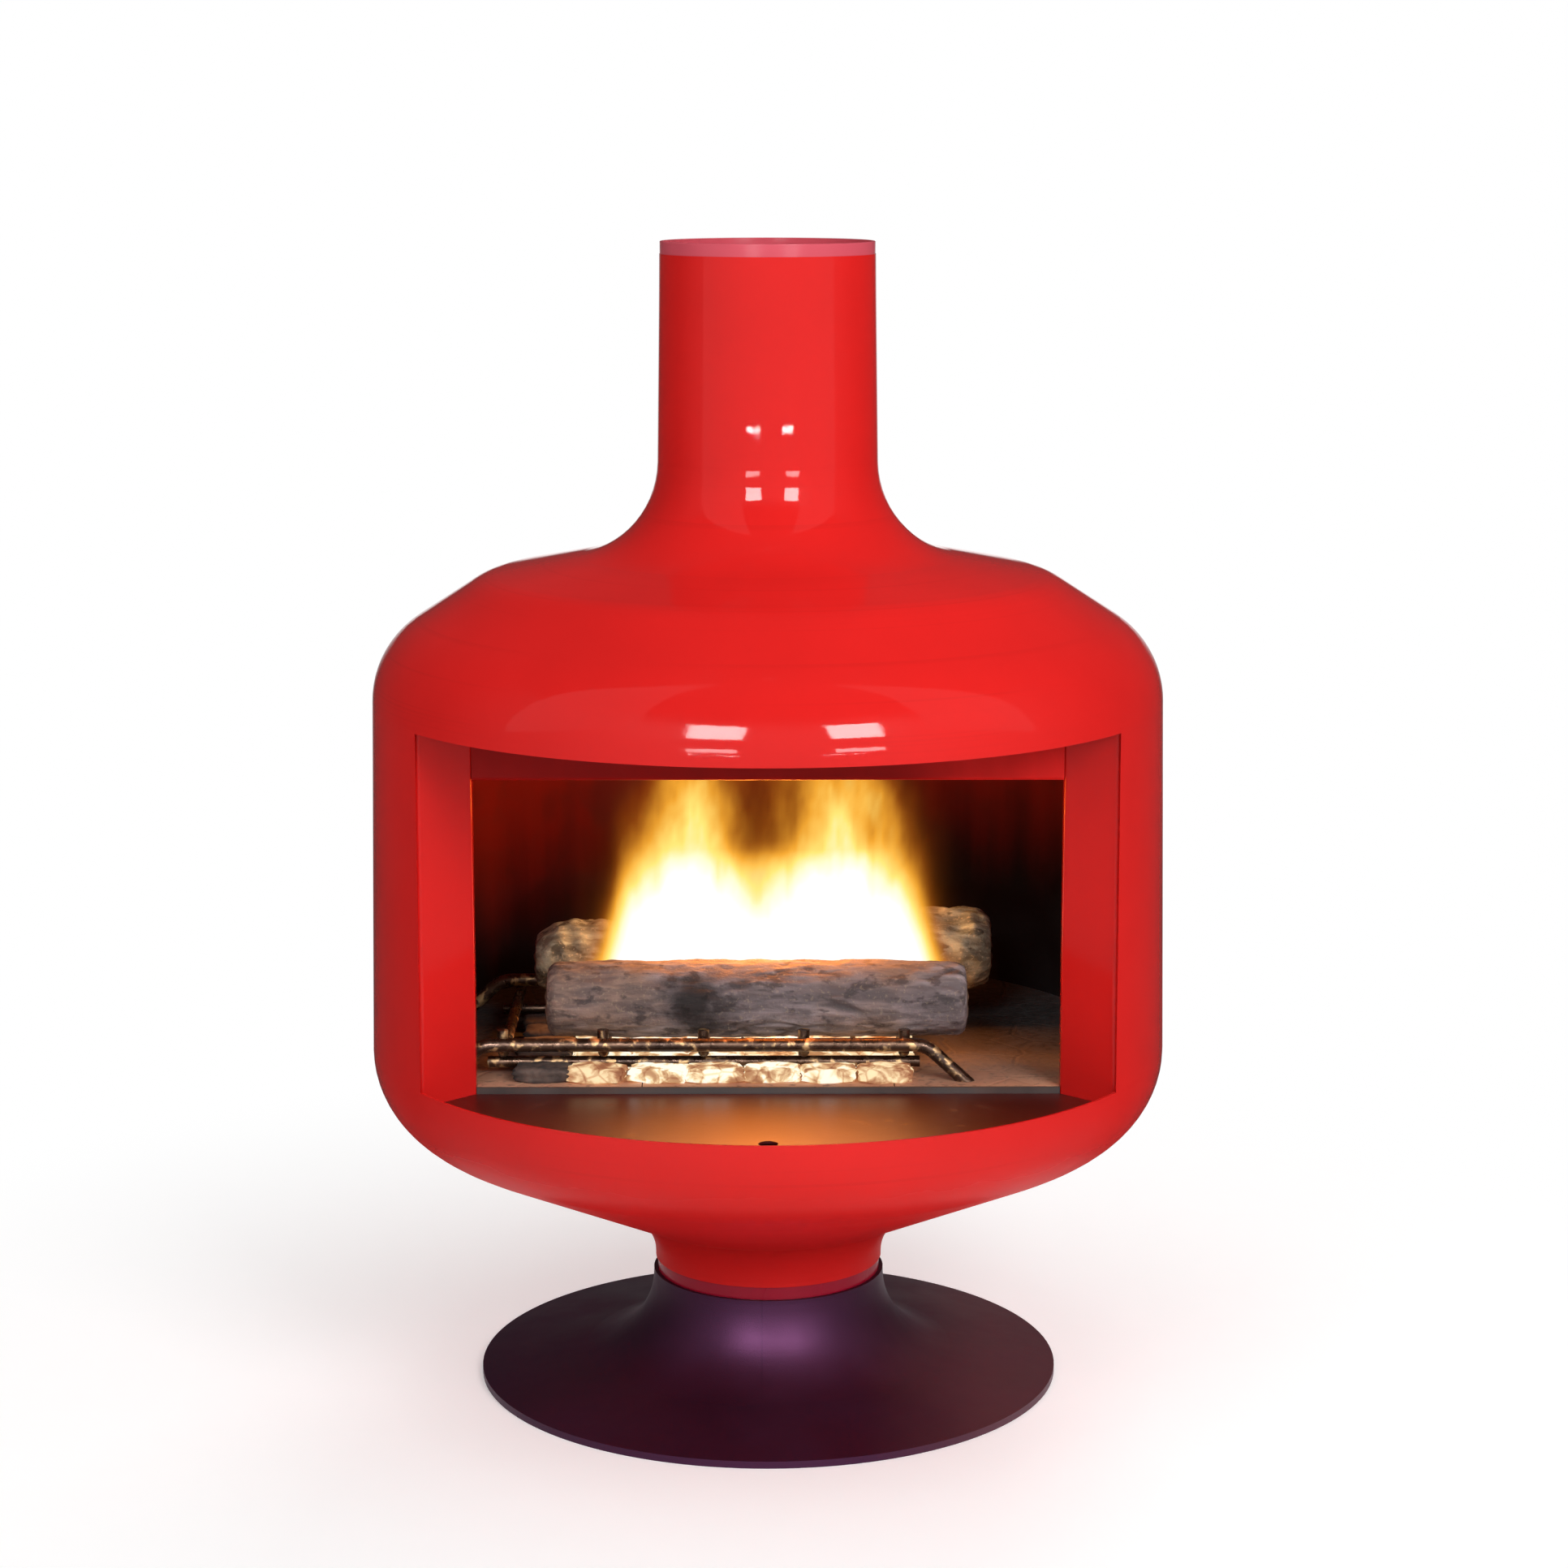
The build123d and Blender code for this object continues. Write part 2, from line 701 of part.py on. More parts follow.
os.makedirs("parts", exist_ok=True)
for name, piece in nodes.items():
    export_step(piece, f"parts/{name}.step")
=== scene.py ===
import math
import random

import bmesh
import bpy
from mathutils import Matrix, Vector, noise


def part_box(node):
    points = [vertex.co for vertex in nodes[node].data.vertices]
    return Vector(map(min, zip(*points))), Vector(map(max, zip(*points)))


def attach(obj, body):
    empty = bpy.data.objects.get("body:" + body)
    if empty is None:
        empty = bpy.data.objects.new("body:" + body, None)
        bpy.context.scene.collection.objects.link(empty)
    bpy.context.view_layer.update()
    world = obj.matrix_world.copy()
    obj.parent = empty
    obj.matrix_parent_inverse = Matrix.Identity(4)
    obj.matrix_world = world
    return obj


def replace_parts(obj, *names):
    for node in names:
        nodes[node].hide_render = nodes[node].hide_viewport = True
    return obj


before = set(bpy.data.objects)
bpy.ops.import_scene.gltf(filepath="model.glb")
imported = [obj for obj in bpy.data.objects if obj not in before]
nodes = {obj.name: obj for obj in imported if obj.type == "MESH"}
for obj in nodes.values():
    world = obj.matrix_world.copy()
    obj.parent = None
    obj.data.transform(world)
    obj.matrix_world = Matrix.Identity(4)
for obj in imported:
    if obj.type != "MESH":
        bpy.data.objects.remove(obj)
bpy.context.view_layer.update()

# Camera, at the photograph's viewing angle
CAMERA_DISTANCE = 3.388
CAMERA_HEIGHT = 1.226
CAMERA_TILT = 10.54
CAMERA_TURN = 0.265
CAMERA_LENS = 80.6
CAMERA_SENSOR = 36.0
CAMERA_REACH = 200.0

# Colours, as linear red, green and blue
RED = (0.80, 0.018, 0.016)
COLLAR_PINK = (0.74, 0.105, 0.145)
CRIMSON = (0.40, 0.006, 0.030)
WHITE = (1.0, 1.0, 1.0)


def shade(colour, factor):
    """Colour made lighter or darker by a factor."""
    return tuple(channel * factor for channel in colour)


def rgba(colour):
    """Colour with full alpha."""
    return (*colour, 1.0)


class Paint:
    """One material, with short calls that add nodes round its Principled shader."""

    def __init__(self, name):
        self.material = bpy.data.materials.new(name)
        self.material.use_nodes = True
        self.tree = self.material.node_tree
        self.shader = self.tree.nodes["Principled BSDF"]
        self.output = self.tree.nodes["Material Output"]
        self.place = self.node("ShaderNodeTexCoord").outputs["Object"]

    def node(self, kind, **settings):
        """New node with its settings."""
        made = self.tree.nodes.new(kind)
        for key, value in settings.items():
            setattr(made, key, value)
        return made

    def feed(self, socket, value):
        """Link a socket, or give it a fixed value."""
        if isinstance(value, bpy.types.NodeSocket):
            self.tree.links.new(value, socket)
        else:
            socket.default_value = value

    def set(self, **values):
        """Feed the Principled shader's sockets, named in lower case with underscores."""
        for socket in self.shader.inputs:
            key = socket.name.lower().replace(" ", "_")
            if key in values:
                self.feed(socket, values.pop(key))
        if values:
            raise KeyError(f"the shader has no socket named {sorted(values)}")

    def stretched(self, factors):
        """Place on the part, times a factor for each axis."""
        made = self.node("ShaderNodeVectorMath", operation="MULTIPLY")
        self.feed(made.inputs[0], self.place)
        made.inputs[1].default_value = factors
        return made.outputs[0]

    def noise(self, scale, detail=4.0, vector=None, warp=0.0):
        """Soft noise from 0 to 1."""
        made = self.node("ShaderNodeTexNoise")
        self.feed(made.inputs["Vector"], vector or self.place)
        made.inputs["Scale"].default_value = scale
        made.inputs["Detail"].default_value = detail
        made.inputs["Distortion"].default_value = warp
        return made.outputs["Fac"]

    def cells(self, scale, feature="DISTANCE_TO_EDGE"):
        """Pattern of cells, as a distance from their edges or middles."""
        made = self.node("ShaderNodeTexVoronoi", feature=feature)
        self.feed(made.inputs["Vector"], self.place)
        made.inputs["Scale"].default_value = scale
        return made.outputs["Distance"]

    def math(self, operation, a, b=0.0):
        """One step of arithmetic."""
        made = self.node("ShaderNodeMath", operation=operation)
        self.feed(made.inputs[0], a)
        self.feed(made.inputs[1], b)
        return made.outputs[0]

    def distance(self, point):
        """Distance from a point of the part."""
        made = self.node("ShaderNodeVectorMath", operation="DISTANCE")
        self.feed(made.inputs[0], self.place)
        made.inputs[1].default_value = point
        return made.outputs["Value"]

    def axes(self):
        """X, Y and Z of the place on the part."""
        made = self.node("ShaderNodeSeparateXYZ")
        self.feed(made.inputs[0], self.place)
        return made.outputs

    def spread(self, value, low, high, to_low=0.0, to_high=1.0):
        """Map a range to another, with smooth ends."""
        made = self.node("ShaderNodeMapRange", interpolation_type="SMOOTHSTEP")
        self.feed(made.inputs["Value"], value)
        made.inputs["From Min"].default_value = low
        made.inputs["From Max"].default_value = high
        made.inputs["To Min"].default_value = to_low
        made.inputs["To Max"].default_value = to_high
        return made.outputs["Result"]

    def ramp(self, factor, *stops):
        """Colour ramp through (position, colour) stops."""
        made = self.node("ShaderNodeValToRGB")
        self.feed(made.inputs["Fac"], factor)
        elements = made.color_ramp.elements
        while len(elements) < len(stops):
            elements.new(0.5)
        for element, (position, colour) in zip(elements, stops):
            element.position = position
            element.color = rgba(colour)
        return made.outputs["Color"]

    def blend(self, factor, a, b):
        """Mix of two colours."""
        made = self.node("ShaderNodeMix", data_type="RGBA")
        self.feed(made.inputs["Factor"], factor)
        for socket, value in zip((made.inputs[6], made.inputs[7]), (a, b)):
            self.feed(socket, value if isinstance(value, bpy.types.NodeSocket) else rgba(value))
        return made.outputs[2]

    def inward(self):
        """1 on faces that look towards the stove's axis, else 0."""
        facing = self.node("ShaderNodeVectorMath", operation="DOT_PRODUCT")
        self.feed(facing.inputs[0], self.place.node.outputs["Normal"])
        self.feed(facing.inputs[1], self.stretched((1.0, 1.0, 0.0)))
        return self.spread(facing.outputs["Value"], -0.020, -0.005, 1.0, 0.0)

    def attribute(self, name):
        """Value that the mesh holds per point."""
        return self.node("ShaderNodeAttribute", attribute_name=name).outputs["Fac"]

    def bump(self, height, distance, strength=1.0, under=None):
        """Normal of a relief, on top of another normal where one is given."""
        made = self.node("ShaderNodeBump")
        self.feed(made.inputs["Height"], height)
        made.inputs["Distance"].default_value = distance
        made.inputs["Strength"].default_value = strength
        if under is not None:
            self.feed(made.inputs["Normal"], under)
        return made.outputs["Normal"]

    def show_mix(self, factor, a, b):
        """Give the surface a mix of two shaders."""
        mix = self.node("ShaderNodeMixShader")
        self.feed(mix.inputs[0], factor)
        self.feed(mix.inputs[1], a.outputs[0])
        self.feed(mix.inputs[2], b.outputs[0])
        self.feed(self.output.inputs["Surface"], mix.outputs[0])

    def show_glow(self, cover, strength, colour=rgba(WHITE)):
        """Make the surface shine where cover is 1 and clear where it is 0."""
        glow = self.node("ShaderNodeEmission")
        self.feed(glow.inputs["Color"], colour)
        glow.inputs["Strength"].default_value = strength
        self.show_mix(cover, self.node("ShaderNodeBsdfTransparent"), glow)
        self.tree.nodes.remove(self.shader)
        self.material.cycles.emission_sampling = "NONE"


def spun_rings(paint, scale):
    """Noise that is the same all round the axis, as a spinning tool leaves it."""
    flat = paint.stretched((1.0, 1.0, 0.0))
    radius = paint.node("ShaderNodeVectorMath", operation="LENGTH")
    paint.feed(radius.inputs[0], flat)
    place = paint.node("ShaderNodeCombineXYZ")
    paint.feed(place.inputs["X"], radius.outputs["Value"])
    paint.feed(place.inputs["Z"], paint.axes()["Z"])
    return paint.noise(scale, 3.0, place.outputs[0])


# Gloss of the enamel, and how the bowl's lower part differs
ENAMEL_SPECULAR = 0.16
DULL_SPECULAR = 0.06
DULL_ROUGHNESS = 0.40
DULL_FADE = 0.10
SOOT_ROUGHNESS = 0.8


def enamel(name, colour, gloss=0.05, peel=0.12, rings=0.10, dull_below=0.0, sooted=False):
    """Vitreous enamel with a little orange peel, and where stated rings from spinning and soot inside."""
    paint = Paint(name)
    clouds = paint.noise(4.0, 3.0)
    colours = paint.ramp(clouds, (0.30, shade(colour, 0.90)), (0.72, shade(colour, 1.04)))
    normal = paint.bump(paint.noise(170.0, 2.0), 0.0004, peel)
    if rings:
        normal = paint.bump(spun_rings(paint, 95.0), 0.0008, rings, normal)
        lines = paint.spread(spun_rings(paint, 150.0), 0.58, 0.66, 0.0, 0.16)
        lines = paint.math("MULTIPLY", lines, paint.spread(clouds, 0.40, 0.60))
        colours = paint.blend(lines, colours, shade(colour, 0.70))
    smudges = paint.noise(9.0, 5.0, warp=0.6)
    rough = paint.spread(smudges, 0.35, 0.75, gloss * 0.6, gloss * 1.8)
    if sooted:
        soot_and_painted_shade = paint.ramp(smudges, (0.35, (0.006, 0.004, 0.004)), (0.75, (0.035, 0.016, 0.013)))
        inside = paint.inward()
        colours = paint.blend(inside, colours, soot_and_painted_shade)
        rough = paint.math("MAXIMUM", rough, paint.math("MULTIPLY", inside, SOOT_ROUGHNESS))
    paint.set(base_color=colours, roughness=rough, normal=normal, specular_ior_level=ENAMEL_SPECULAR)
    if dull_below:
        dull = paint.spread(paint.axes()["Z"], dull_below - DULL_FADE, dull_below, 1.0, 0.0)
        paint.set(roughness=paint.math("ADD", rough, paint.math("MULTIPLY", dull, DULL_ROUGHNESS)))
        paint.set(specular_ior_level=paint.spread(dull, 0.0, 1.0, ENAMEL_SPECULAR, DULL_SPECULAR))
    return paint.material


def sooted_enamel_with_painted_shade(name, colour):
    """Enamel of the panel above the mouth, browned by smoke and painted shade on its left and middle, and
    made lighter at its right end by painted light.
    """
    paint = Paint(name)
    streaks = paint.noise(30.0, 4.0, paint.stretched((1.0, 1.0, 0.12)))
    # Painted light and shade, with smoke browning: the panel is darker on the left and middle and lighter
    # than its enamel at the right end.
    painted_light_and_clean = paint.spread(paint.axes()["X"], 0.11, 0.20, 0.28, 1.0)
    painted_light_and_clean = paint.math("MULTIPLY", painted_light_and_clean, paint.spread(streaks, 0.2, 0.8, 0.75, 1.0))
    colours = paint.blend(painted_light_and_clean, shade(colour, 0.32), shade(colour, 1.05))
    normal = paint.bump(paint.noise(170.0, 2.0), 0.0004, 0.12)
    rough = paint.spread(streaks, 0.3, 0.7, 0.35, 0.5)
    paint.set(base_color=colours, roughness=rough, normal=normal, specular_ior_level=0.04)
    return paint.material


FOOT_SEAM_X = -0.0065


def foot_paint():
    """Dark aubergine satin paint with a fine flake, rings from spinning, a seam at the front, and a painted
    sheen that makes its right side lighter and browner.
    """
    paint = Paint("foot_satin_paint")
    flake = paint.cells(900.0, "F1")
    clouds = paint.noise(5.0, 4.0)
    colours = paint.ramp(clouds, (0.30, (0.018, 0.0045, 0.0115)), (0.75, (0.030, 0.0075, 0.0175)))
    # Painted sheen: the right side is made lighter and browner, as if lit from that side.
    painted_sheen = paint.math("ADD", paint.axes()["X"], paint.math("MULTIPLY", clouds, 0.12))
    colours = paint.blend(paint.spread(painted_sheen, 0.14, 0.30, 0.0, 0.9), colours, (0.100, 0.038, 0.040))
    front = paint.spread(paint.axes()["Y"], -0.19, -0.10)
    seam = paint.math("ABSOLUTE", paint.math("SUBTRACT", paint.axes()["X"], FOOT_SEAM_X))
    seam = paint.math("MULTIPLY", paint.spread(seam, 0.0005, 0.0016, 0.7, 0.0), front)
    colours = paint.blend(seam, colours, (0.004, 0.0015, 0.003))
    grain = paint.bump(flake, 0.0002, 0.25)
    grain = paint.bump(spun_rings(paint, 70.0), 0.0008, 0.12, grain)
    rough = paint.spread(paint.noise(14.0, 5.0), 0.3, 0.8, 0.44, 0.56)
    paint.set(base_color=colours, roughness=rough, normal=grain, specular_ior_level=0.50)
    paint.set(specular_tint=rgba((0.92, 0.34, 0.85)))
    return paint.material


def hearth_enamel():
    """Dark maroon satin enamel with a little ash dust."""
    paint = Paint("hearth_maroon_enamel")
    dust = paint.spread(paint.noise(60.0, 6.0, warp=0.4), 0.58, 0.78)
    clouds = paint.noise(6.0, 3.0)
    maroon = paint.ramp(clouds, (0.3, (0.060, 0.0050, 0.0052)), (0.7, (0.100, 0.0080, 0.0078)))
    colours = paint.blend(paint.math("MULTIPLY", dust, 0.15), maroon, (0.22, 0.12, 0.09))
    rough = paint.spread(dust, 0.0, 1.0, 0.35, 0.45)
    peel = paint.bump(paint.noise(150.0, 3.0), 0.0004, 0.15)
    paint.set(base_color=colours, roughness=rough, normal=peel, specular_ior_level=0.34)
    return paint.material


def sooty_steel(name, dark, scale_colour):
    """Fire-blackened sheet with flakes of brown scale and streaks of soot."""
    paint = Paint(name)
    flakes = paint.noise(16.0, 8.0, warp=0.5)
    streaks = paint.noise(22.0, 5.0, paint.stretched((1.0, 1.0, 0.15)))
    mixed = paint.math("MULTIPLY", flakes, streaks)
    colours = paint.ramp(mixed, (0.14, dark), (0.42, scale_colour))
    rough = paint.spread(flakes, 0.3, 0.7, 0.55, 0.9)
    paint.set(base_color=colours, roughness=rough, normal=paint.bump(flakes, 0.001, 0.4))
    return paint.material


def fireback_enamel():
    """Old red enamel behind the fire, black low down and towards the right from soot and painted shade, and
    streaked with soot.
    """
    paint = Paint("fireback_burnt_enamel")
    flakes = paint.noise(16.0, 8.0, warp=0.5)
    streaks = paint.noise(22.0, 5.0, paint.stretched((1.0, 1.0, 0.10)))
    # Soot and painted shade: the red turns black low down and towards the right, where less of the fire's
    # light falls.
    height = paint.math("ADD", paint.axes()["Z"], paint.math("MULTIPLY", streaks, 0.10))
    height = paint.math("ADD", height, paint.math("MULTIPLY", paint.axes()["X"], -0.14))
    painted_light_and_clean = paint.spread(height, 0.44, 0.68)
    painted_light_and_clean = paint.math("MULTIPLY", painted_light_and_clean, paint.spread(flakes, 0.30, 0.62, 0.65, 1.0))
    colours = paint.blend(painted_light_and_clean, (0.0035, 0.0010, 0.0009), (0.19, 0.0085, 0.0030))
    rough = paint.spread(flakes, 0.3, 0.7, 0.55, 0.9)
    normal = paint.bump(flakes, 0.001, 0.4)
    paint.set(base_color=colours, roughness=rough, normal=normal, specular_ior_level=0.15)
    return paint.material


def refractory():
    """Fired clay slabs: tan, speckled, with fine cracks, and soot with painted shade that darkens them
    towards the back.
    """
    paint = Paint("refractory_clay")
    speckle = paint.noise(130.0, 6.0)
    clouds = paint.noise(11.0, 5.0)
    clay = paint.ramp(clouds, (0.30, (0.48, 0.21, 0.12)), (0.72, (0.80, 0.42, 0.25)))
    clay = paint.blend(paint.spread(speckle, 0.52, 0.75, 0.0, 0.6), clay, (0.07, 0.030, 0.018))
    # Soot and painted shade: the clay turns near black towards the back, away from the light at the front.
    far = paint.math("ADD", paint.axes()["Y"], paint.math("MULTIPLY", clouds, 0.06))
    soot_and_painted_shade = paint.spread(far, -0.14, 0.02, 0.0, 0.97)
    clay = paint.blend(soot_and_painted_shade, clay, (0.008, 0.0035, 0.0028))
    cracks = paint.spread(paint.cells(15.0), 0.0, 0.05)
    rough = paint.spread(speckle, 0.3, 0.7, 0.7, 0.95)
    grain = paint.bump(speckle, 0.0012, 0.5)
    paint.set(base_color=clay, roughness=rough, normal=paint.bump(cracks, 0.0015, 0.4, grain))
    return paint.material


def grate_iron():
    """Bronze-brown scale on bars that have been red hot many times."""
    paint = Paint("grate_iron")
    scale_noise = paint.noise(90.0, 7.0, warp=0.4)
    patches = paint.noise(18.0, 4.0)
    iron = paint.ramp(patches, (0.32, (0.030, 0.015, 0.010)), (0.70, (0.100, 0.052, 0.030)))
    iron = paint.blend(paint.spread(scale_noise, 0.55, 0.68, 0.0, 0.8), iron, (0.60, 0.38, 0.18))
    rough = paint.spread(scale_noise, 0.3, 0.7, 0.20, 0.50)
    paint.set(base_color=iron, metallic=0.7, roughness=rough, normal=paint.bump(scale_noise, 0.0014, 0.6))
    return paint.material


def bright_steel():
    """Turned and plated steel of fasteners and spindle."""
    paint = Paint("bright_steel")
    turned = paint.noise(260.0, 4.0, paint.stretched((1.0, 0.15, 1.0)))
    stain = paint.noise(35.0, 4.0)
    colours = paint.ramp(stain, (0.3, (0.46, 0.44, 0.42)), (0.75, (0.68, 0.67, 0.66)))
    rough = paint.spread(turned, 0.3, 0.7, 0.30, 0.50)
    paint.set(base_color=colours, metallic=1.0, roughness=rough, normal=paint.bump(turned, 0.0002, 0.3))
    return paint.material


def knob_plastic():
    """Black phenolic with a faint swirl."""
    paint = Paint("knob_phenolic")
    swirl = paint.noise(120.0, 4.0, warp=1.5)
    colours = paint.ramp(swirl, (0.35, (0.008, 0.008, 0.009)), (0.75, (0.024, 0.022, 0.022)))
    rough = paint.spread(swirl, 0.3, 0.7, 0.14, 0.26)
    paint.set(base_color=colours, roughness=rough, normal=paint.bump(swirl, 0.0002, 0.15))
    return paint.material


SOOT_FADE = 0.035


def bark_material(name, light, dark, brown, painted_glints, soot_place, soot_size):
    """Bark with dark cracks, paler plates, painted golden glints, a burnt patch and ringed end grain."""
    paint = Paint(name)
    along = paint.stretched((0.25, 1.0, 1.0))
    fibres = paint.noise(120.0, 6.0, along, 0.3)
    plates = paint.noise(26.0, 5.0, along)
    bark = paint.ramp(plates, (0.30, dark), (0.68, light))
    bark = paint.blend(paint.spread(paint.noise(7.0, 3.0), 0.46, 0.62), bark, brown)
    bark = paint.blend(paint.spread(fibres, 0.35, 0.7, 0.7, 0.0), bark, shade(dark, 0.4))
    pits = paint.noise(75.0, 4.0, paint.stretched((0.6, 1.0, 1.0)))
    bark = paint.blend(paint.spread(pits, 0.36, 0.46, 0.75, 0.0), bark, shade(dark, 0.3))
    # Painted glints: specks of pale gold in the bark's colour stand for the fire's light catching it.
    painted_glint = paint.spread(paint.noise(300.0, 3.0), 0.58, 0.68, 0.0, painted_glints)
    bark = paint.blend(painted_glint, bark, (0.82, 0.62, 0.38))
    bark = paint.blend(paint.math("MULTIPLY", paint.attribute("crack"), 0.7), bark, shade(dark, 0.3))
    ragged = paint.math("MULTIPLY", paint.noise(45.0, 5.0), 0.05)
    burnt = paint.math("ADD", paint.distance(soot_place), ragged)
    burnt = paint.spread(burnt, soot_size, soot_size + SOOT_FADE, 0.9, 0.0)
    bark = paint.blend(burnt, bark, (0.012, 0.008, 0.007))
    grain = paint.ramp(paint.attribute("ring"), (0.2, (0.10, 0.052, 0.030)), (0.8, (0.30, 0.19, 0.12)))
    bark = paint.blend(paint.attribute("cut"), bark, grain)
    rough = paint.spread(fibres, 0.3, 0.7, 0.7, 0.95)
    grit = paint.bump(paint.noise(420.0, 3.0), 0.0010, 0.6)
    relief = paint.bump(fibres, 0.0040, 0.8, grit)
    paint.set(base_color=bark, roughness=rough, normal=relief, specular_ior_level=0.15)
    return paint.material


def ember_material():
    """Charcoal that glows white to orange, with grey ash and dark cracks."""
    paint = Paint("ember_charcoal")
    cracks = paint.spread(paint.cells(48.0), 0.0, 0.08)
    ash = paint.noise(55.0, 6.0, warp=0.5)
    glow = paint.attribute("glow")
    heat = paint.math("MULTIPLY", glow, paint.spread(ash, 0.36, 0.62, 0.42, 1.0))
    heat = paint.math("MULTIPLY", heat, paint.spread(cracks, 0.0, 1.0, 0.80, 1.0))
    light = paint.ramp(
        heat,
        (0.10, (0.0, 0.0, 0.0)),
        (0.26, (0.22, 0.050, 0.010)),
        (0.44, (0.46, 0.20, 0.08)),
        (0.62, (0.72, 0.45, 0.22)),
        (0.78, (1.00, 0.80, 0.46)),
        (0.96, (1.00, 0.97, 0.84)),
    )
    coal = paint.ramp(ash, (0.35, (0.020, 0.010, 0.008)), (0.72, (0.16, 0.10, 0.075)))
    paint.set(base_color=coal, emission_color=light, emission_strength=1.0, roughness=0.9)
    paint.set(normal=paint.bump(ash, 0.003, 0.8))
    return paint.material


def flame_material():
    """Glowing gas: brown haze, then orange, yellow and white, clear where it is cool."""
    paint = Paint("flame_gas")
    heat = paint.attribute("hotness")
    light = paint.ramp(
        heat,
        (0.03, (0.16, 0.034, 0.003)),
        (0.18, (0.42, 0.11, 0.008)),
        (0.34, (0.92, 0.40, 0.035)),
        (0.52, (1.0, 0.76, 0.18)),
        (0.72, (1.0, 0.94, 0.62)),
        (0.95, (1.0, 1.0, 0.97)),
    )
    paint.show_glow(paint.spread(heat, 0.0, 0.60), FLAME_LIGHT, light)
    return paint.material


def dress(material, *names):
    """Give CAD nodes a material."""
    for name in names:
        slots = nodes[name].data.materials
        slots.clear()
        slots.append(material)


def mesh_piece(name, points, faces, material, body, slot, **values):
    """Smooth mesh piece that rides on a body, with named values per point."""
    mesh = bpy.data.meshes.new(name)
    mesh.from_pydata(points, [], faces)
    for key, numbers in values.items():
        mesh.attributes.new(key, "FLOAT", "POINT").data.foreach_set("value", numbers)
    mesh.polygons.foreach_set("use_smooth", [True] * len(mesh.polygons))
    mesh.materials.append(material)
    piece = bpy.data.objects.new(name, mesh)
    bpy.context.scene.collection.objects.link(piece)
    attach(piece, body)
    return piece


def smooth(value, low, high):
    """Smooth step from 0 at low to 1 at high."""
    share = min(max((value - low) / (high - low), 0.0), 1.0)
    return share * share * (3.0 - 2.0 * share)


# Logs: bark that is modelled on a tube of rings, with rounded ends
LOG_RINGS = 150
LOG_SIDES = 112
LOG_CAP_RINGS = 12
LOG_CAP_DEPTH = 0.0015
LOG_CAP_INNER = 0.04
LOG_CAP_OUTER = 0.60
LOG_END_GAP = 0.002
LOG_END_SCALE = 0.62
LOG_WANDER = 0.003
LOG_CHIPS = 0.0015
GRAIN_RINGS = 1900.0


def bark_relief(place, seed, depth, lump):
    """Height of the bark at a place, and how deep in a crack it is."""
    stretched = Vector((place.x * 8.0 + seed, place.y * 70.0, place.z * 70.0))
    warp = noise.noise(stretched * 0.6) * 0.7
    ridge = abs(noise.noise(stretched + Vector((0.0, warp, warp))))
    crack = 1.0 - smooth(ridge, 0.0, 0.06)
    crack *= smooth(noise.noise(place * 14.0 + Vector((seed, 0.0, 0.0))), -0.05, 0.30)
    lumps = noise.noise(place * 24.0 + Vector((0.0, seed, 0.0))) * lump * 0.7
    lumps += noise.noise(place * 70.0 + Vector((seed, 0.0, 0.0))) * lump * 0.45
    spot = Vector((place.x * 55.0, place.y * 150.0, place.z * 150.0))
    fine = noise.fractal(spot, 0.7, 2.0, 3) * 0.0009
    return lumps + fine - crack * depth, crack


